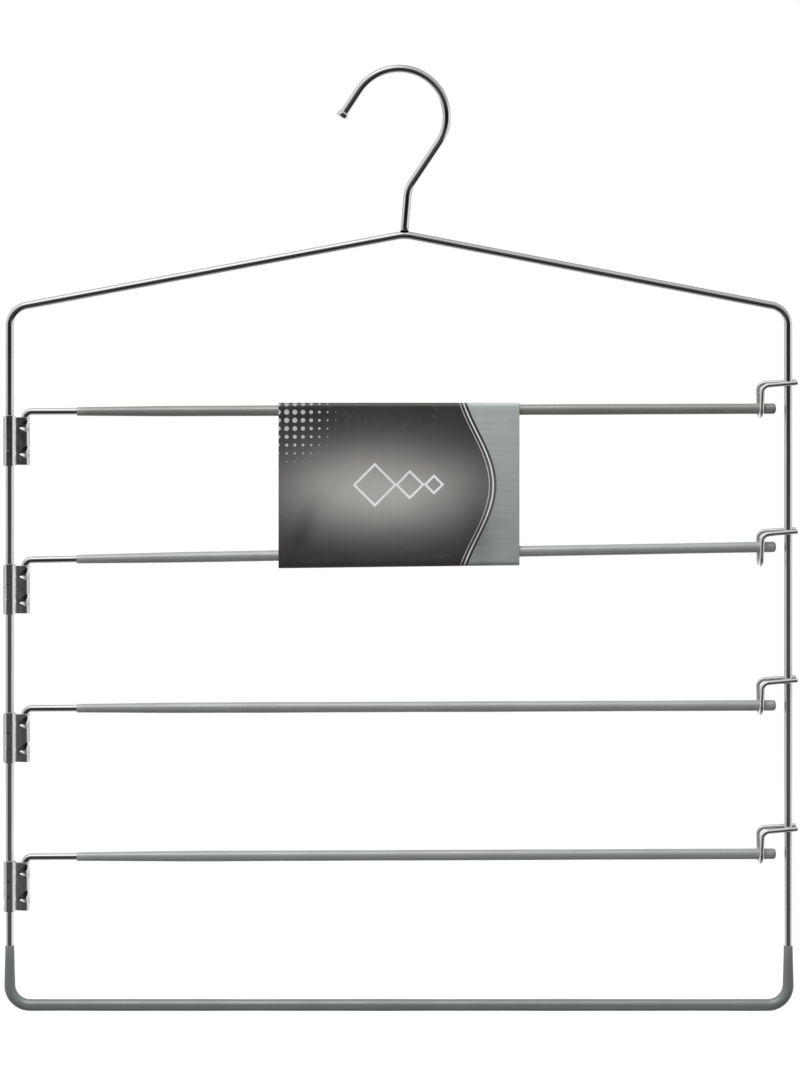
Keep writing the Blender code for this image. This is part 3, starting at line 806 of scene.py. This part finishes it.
def cardFinish():
    finish, tree, shader, place = newFinish("printedCard")
    look, wearAndDentShade = cardPrint, cardWearAndDentShade
    u, v = addNode(tree, "SeparateXYZ", {0: place["UV"]}).outputs[:2]
    op, step, mix = (partial(make, tree) for make in (calc, softStep, mixColour))
    def squares(first, second):
        return op("ADD", op("MULTIPLY", first, first), op("MULTIPLY", second, second))
    def inWidths(value):
        return op("DIVIDE", value, look["aspect"])
    # Glow: e to the minus squared share of its size
    gu, gv = (op("DIVIDE", op("SUBTRACT", way, at), size)
              for way, at, size in zip((u, v), look["glowAt"], look["glowSize"]))
    glow = op("EXPONENT", op("MULTIPLY", squares(gu, gv), -1.0))
    onFront = op("MULTIPLY", step(v, *look["frontLow"]), step(v, *look["frontHigh"]))
    printed = mix(op("MULTIPLY", glow, onFront), grey(*look["dark"]), grey(*look["glow"]))
    # Wave: silver to the right of a sine line, with two pinstripes beside it
    swing = op("SINE", op("MULTIPLY_ADD", v, *look["wave"]))
    beside = op("SUBTRACT", u, op("MULTIPLY_ADD", swing, look["waveSwing"], look["waveAt"]))
    brushed = placeGroup(tree, drawnLines, Place=place["UV"], Along=look["brushAlong"],
                         Across=look["brushAcross"])
    brushed = op("MULTIPLY_ADD", brushed, look["brush"], look["silver"] - look["brush"] / 2)
    silver = op("MULTIPLY", step(v, 0.0, 1.0, *look["sheen"]), brushed)
    silver = addNode(tree, "CombineColor", {
        k: op("MULTIPLY", silver, tint) for k, tint in enumerate(look["silverTint"])}).outputs[0]
    printed = mix(step(beside, -look["waveEdge"], look["waveEdge"]), printed, silver)
    shapes = []
    for at, half, share in look["stripes"]:
        off = op("ABSOLUTE", op("ADD", beside, at))
        shapes.append(op("MULTIPLY", step(off, half + look["stripeEdge"], half), share))
    # Dots: distance to the middle of a square cell, smaller the further from the field's corner
    cell = op("SQRT", squares(*(op("PINGPONG", way, look["dotPitch"] / 2) for way in (u, inWidths(v)))))
    fu, fv = (op("SUBTRACT", way, at) for way, at in zip((u, v), look["dotsAt"]))
    field = op("SQRT", squares(fu, inWidths(fv)))
    size = step(field, 0.0, look["dotsReach"], *look["dotSizes"])
    dots = step(op("SUBTRACT", cell, size), *look["dotEdge"])
    shapes.append(op("MULTIPLY", dots, look["dotShare"]))
    # Diamonds: the sum of both distances from the middle, as an outline
    for atU, atV, half in look["diamonds"]:
        du, dv = op("SUBTRACT", u, atU), inWidths(op("SUBTRACT", v, atV))
        rim = op("SUBTRACT", op("ADD", op("ABSOLUTE", du), op("ABSOLUTE", dv)), half)
        shapes.append(step(op("ABSOLUTE", rim), *look["diamondEdge"]))
    lines = shapes[0]
    for shape in shapes[1:]:
        lines = op("MAXIMUM", lines, shape)
    printed = mix(op("MULTIPLY", lines, onFront), printed, grey(look["line"]))
    # Wear and painted shade: scuffs and slow tone over the print, dents darkened as painted shade, then the
    # bare board
    tone, scuffs = wearMarks(tree, place["Object"], *wearAndDentShade["scales"])
    for mark, kind in ((scuffs, "scuffs"), (tone, "tone"), (pointMark(tree, "dentShade"), "dents")):
        most, *colour = wearAndDentShade[kind]
        printed = mix(mark, printed, grey(*colour), most)
    raw, scale = pointMark(tree, "board"), wearAndDentShade["fibreScale"]
    fibre = placeGroup(tree, drawnLines, Place=place["Object"], Along=scale, Across=scale)
    board = mix(fibre, *wearAndDentShade["board"])
    fillSockets(tree, shader, {
        "Base Color": mix(raw, printed, board), "Specular IOR Level": wearAndDentShade["specular"],
        "Roughness": addShares(tree, wearAndDentShade["rough"], (scuffs, wearAndDentShade["scuffRough"]), (tone, wearAndDentShade["toneRough"]),
                               (raw, wearAndDentShade["boardRough"])),
        "Normal": bumpFrom(tree, noise(tree, place["Object"], *wearAndDentShade["tooth"]), *wearAndDentShade["bump"])})
    return finish


def makeCard():
    low, high = cadSpan("sales_card")
    outer = (high[1] - low[1]) / 2
    radius = outer - card["board"] / 2
    topZ, lowZ = high[2] - outer, low[2] + outer
    flat = cardLine(radius, topZ, lowZ)
    middleX, halfX = (low[0] + high[0]) / 2, (high[0] - low[0]) / 2
    line = np.stack([np.full(len(flat), middleX), flat[:, 0], flat[:, 1]], 1)
    along = pathLengths(line)
    rings, across, face = carrySheet(line, (1, 0, 0), np.full(len(line), halfX), card["board"],
                                     card["edge"], card["samples"])[:3]
    x, y, z = (rings[..., k] for k in range(3))
    # The lower fold climbs with the second bar, and the front bows out a little between the bars
    fall = np.clip((topZ - z) / (topZ - lowZ), 0, card["liftMost"])
    tall = np.sin(math.pi * np.clip((z - lowZ) / (topZ - lowZ), 0, 1))
    dents = ease(0.0, -card["frontFrom"] * radius, y) * cardDents(x, z)
    rings[..., 2] += card["lift"] * fall * (x - middleX) / halfX
    bow = card["bow"] * np.cos(math.pi * (x - middleX) / (card["bowReach"] * halfX))
    rings[..., 1] -= tall * bow * np.sign(-y)
    rings[..., 1] += dents * ease(0, card["dentFade"], tall)
    # The print's height runs from 0 at the lower fold to 1 at the top of the front
    onFront = flat[:, 0] <= -radius * card["frontFull"]
    frontStart = along[np.argmin(np.where(onFront, np.abs(flat[:, 1] - topZ), np.inf))]
    share = 1 - (along - frontStart) / (topZ - lowZ)
    uv = sheetUv(0.5 + across / (2 * halfX), share[:, None])
    piece = skinRings("salesCard", rings, uv, sharp=card["sharp"])
    inside = 1 - ease(*card["printFrom"], np.broadcast_to(face, across.shape))
    markPoints(piece, "board", inside, 1.0)
    # The dents' depth, which the finish paints as shade
    markPoints(piece, "dentShade", np.clip(dents / card["dentFull"], 0, 1))
    fitPiece(piece, cardFinish(), "card", "printed_card", "sales_card")


makeCard()
print("card made")


# Floor: a sheet of white paper far below the hanging object, from behind it to the backdrop
floorPaper = {"below": 0.55, "front": 0.45, "back": 8.0, "half": 5.0, "colour": 0.80, "toneDeep": 0.98,
              "toneScale": 1.5, "rough": 0.7, "glow": 0.50}


def makeFloor():
    paper, half, level = floorPaper, floorPaper["half"], cadBox[0][2] - floorPaper["below"]
    mesh = bpy.data.meshes.new("paleFloor")
    mesh.from_pydata([(-half, paper["front"], level), (half, paper["front"], level),
                      (half, paper["back"], level), (-half, paper["back"], level)], [], [(0, 1, 2, 3)])
    floor = addObject("paleFloor", mesh)
    finish, tree, shader, place = newFinish("paleFloor")
    tone = placeGroup(tree, slowMottle, Place=place["Object"], Scale=paper["toneScale"])
    ray = addNode(tree, "LightPath").outputs
    seen = calc(tree, "MAXIMUM", ray["Is Camera Ray"],
                calc(tree, "MAXIMUM", ray["Is Glossy Ray"], ray["Is Transmission Ray"]))
    fillSockets(tree, shader, {
        "Base Color": mixColour(tree, tone, grey(paper["colour"]), grey(paper["colour"] * paper["toneDeep"])),
        "Roughness": paper["rough"], "Emission Color": grey(1.0),
        "Emission Strength": calc(tree, "MULTIPLY", seen, paper["glow"])})
    floor.data.materials.append(finish)


# Surroundings: a white tent with a white backdrop, brightest above on the left, and a dark opening
# on the viewer's side that widens to the right below, pales towards the ground and has a pale band
# a little below the camera's level
tent = {"openWide": 57, "openFade": 12, "openBelow": 40, "belowFrom": (-5, -35), "openLow": (-125, -32),
        "openHigh": (50, 7), "dark": 0.010, "pale": 0.085, "paleHigh": (6, -3), "paleLow": (-18, -11),
        "levels": ((0.0, 0.50), (0.40, 0.64), (0.50, 0.78), (0.57, 0.92), (0.75, 1.0), (1.0, 0.95)),
        "left": 0.88, "right": 1.14, "leftToRight": (-0.8, 0.8), "aboveRight": 0.62,
        "aboveMiddle": (-0.2, 0.2), "aboveFrom": (0.15, 0.5), "behind": 0.72, "behindAbove": 0.52,
        "behindFrom": (0.0, 0.5), "roofFrom": (0.1, 0.5), "panelAt": (-0.181, -0.498, 0.848),
        "panelEdge": (19, 12), "panel": 0.45, "backdrop": 1.0, "backdropFrom": (0.90, 0.97)}


def makeSurroundings():
    world = bpy.context.scene.world or bpy.data.worlds.new("studio")
    bpy.context.scene.world = world
    world.use_nodes = True
    tree = world.node_tree
    tree.nodes.clear()
    node = partial(addNode, tree)
    seenWay = node("TexCoord").outputs["Generated"]
    x, y, z = node("SeparateXYZ", {0: seenWay}).outputs[:3]
    rad = math.radians
    op, step = partial(calc, tree), partial(softStep, tree)
    def within(first, second):
        return op("MULTIPLY", *(step(rise, *map(rad, tent[k])) for k in (first, second)))
    def blend(share, first, second):
        return node("Mix", {0: share, 2: first, 3: second}).outputs[0]
    def dim(colour, share):
        return node("VectorMath", {0: colour, 3: share}, operation="SCALE").outputs[0]
    # Opening: between its two sides and between its lower and upper limit
    turn = op("ARCTAN2", x, op("MULTIPLY", y, -1.0))
    rise = op("ARCSINE", z)
    wide, fade = rad(tent["openWide"]), rad(tent["openFade"])
    rightSide = step(rise, *map(rad, tent["belowFrom"]), wide, wide + rad(tent["openBelow"]))
    beforeRight = step(op("SUBTRACT", turn, rightSide), fade, -fade)
    afterLeft = step(turn, -wide - fade, fade - wide)
    opening = op("MULTIPLY", op("MULTIPLY", beforeRight, afterLeft), within("openLow", "openHigh"))
    band = within("paleHigh", "paleLow")
    depth = op("MULTIPLY_ADD", band, tent["pale"] - tent["dark"], tent["dark"])
    # Walls: grey levels from the ground to the zenith, dimmer behind, and a panel above on the left
    ramp = node("ValToRGB", {0: op("MULTIPLY_ADD", rise, 1 / math.pi, 0.5)})
    stops = ramp.color_ramp.elements
    for level in tent["levels"][1:-1]:
        stops.new(level[0])
    for stop, (place, tone) in zip(stops, tent["levels"]):
        stop.position, stop.color = place, grey(tone)
    beside = step(x, *tent["leftToRight"], tent["left"], tent["right"])
    above = step(x, *tent["aboveMiddle"], 1.0, tent["aboveRight"])
    sides = blend(step(z, *tent["aboveFrom"]), beside, above)
    near = node("VectorMath", {0: seenWay, 1: tent["panelAt"]}, operation="DOT_PRODUCT")
    panelFrom, panelFull = (math.cos(rad(angle)) for angle in tent["panelEdge"])
    panel = step(near.outputs["Value"], panelFrom, panelFull, 0.0, tent["panel"])
    walls = dim(ramp.outputs[0], op("ADD", sides, panel))
    roof = step(z, *tent["roofFrom"], tent["behind"], tent["behindAbove"])
    walls = dim(walls, blend(step(y, *tent["behindFrom"]), 1.0, roof))
    lit = mixColour(tree, step(y, *tent["backdropFrom"]), walls, grey(tent["backdrop"]))
    room = node("Background", {0: mixColour(tree, opening, lit, depth)}).outputs[0]
    plain = node("Background", {0: grey(tent["backdrop"])}).outputs[0]
    seen = node("LightPath").outputs["Is Camera Ray"]
    both = node("MixShader", {0: seen, 1: room, 2: plain}).outputs[0]
    node("OutputWorld", {0: both})


# Lamps for the coats, the card and the floor: a softbox high in front and a weak fill from below.
# The chrome mirrors the tent's own panel, which is dimmer and doesn't clip.
lamps = {"softbox": {"place": (-0.18, -0.75, 1.00), "size": (0.75, 1.10), "power": 24.0},
         "lowFill": {"place": (0.05, -0.70, -1.30), "size": (0.90, 0.60), "power": 3.2}}
camera = {"view": (0.0005, -0.2264), "distance": 1.5, "tall": 0.5243, "sensor": 36.0}


def makeLamps():
    lit = bpy.data.collections.new("lampReceivers")
    for piece in bpy.context.scene.objects:
        if piece.type == "MESH" and not any("Chrome" in name for name in piece.data.materials.keys()):
            lit.objects.link(piece)
    middle = Vector((0, 0, camera["view"][1]))
    for name, settings in lamps.items():
        lamp = bpy.data.lights.new(name, "AREA")
        lamp.shape, lamp.energy = "RECTANGLE", settings["power"]
        lamp.size, lamp.size_y = settings["size"]
        box = addObject(name, lamp)
        box.location = settings["place"]
        box.rotation_euler = (middle - box.location).to_track_quat("-Z", "Y").to_euler()
        box.light_linking.receiver_collection = lit


def makeCamera():
    data = bpy.data.cameras.new("photoCamera")
    data.sensor_width = camera["sensor"]
    data.lens = camera["sensor"] * camera["distance"] / camera["tall"]
    eye = addObject("photoCamera", data)
    eye.location = (camera["view"][0], -camera["distance"], camera["view"][1])
    eye.rotation_euler = (math.pi / 2, 0, 0)
    bpy.context.scene.camera = eye


makeFloor()
makeSurroundings()
makeLamps()
makeCamera()
bpy.context.scene.view_settings.view_transform = "Standard"
print("stage, light and camera made")
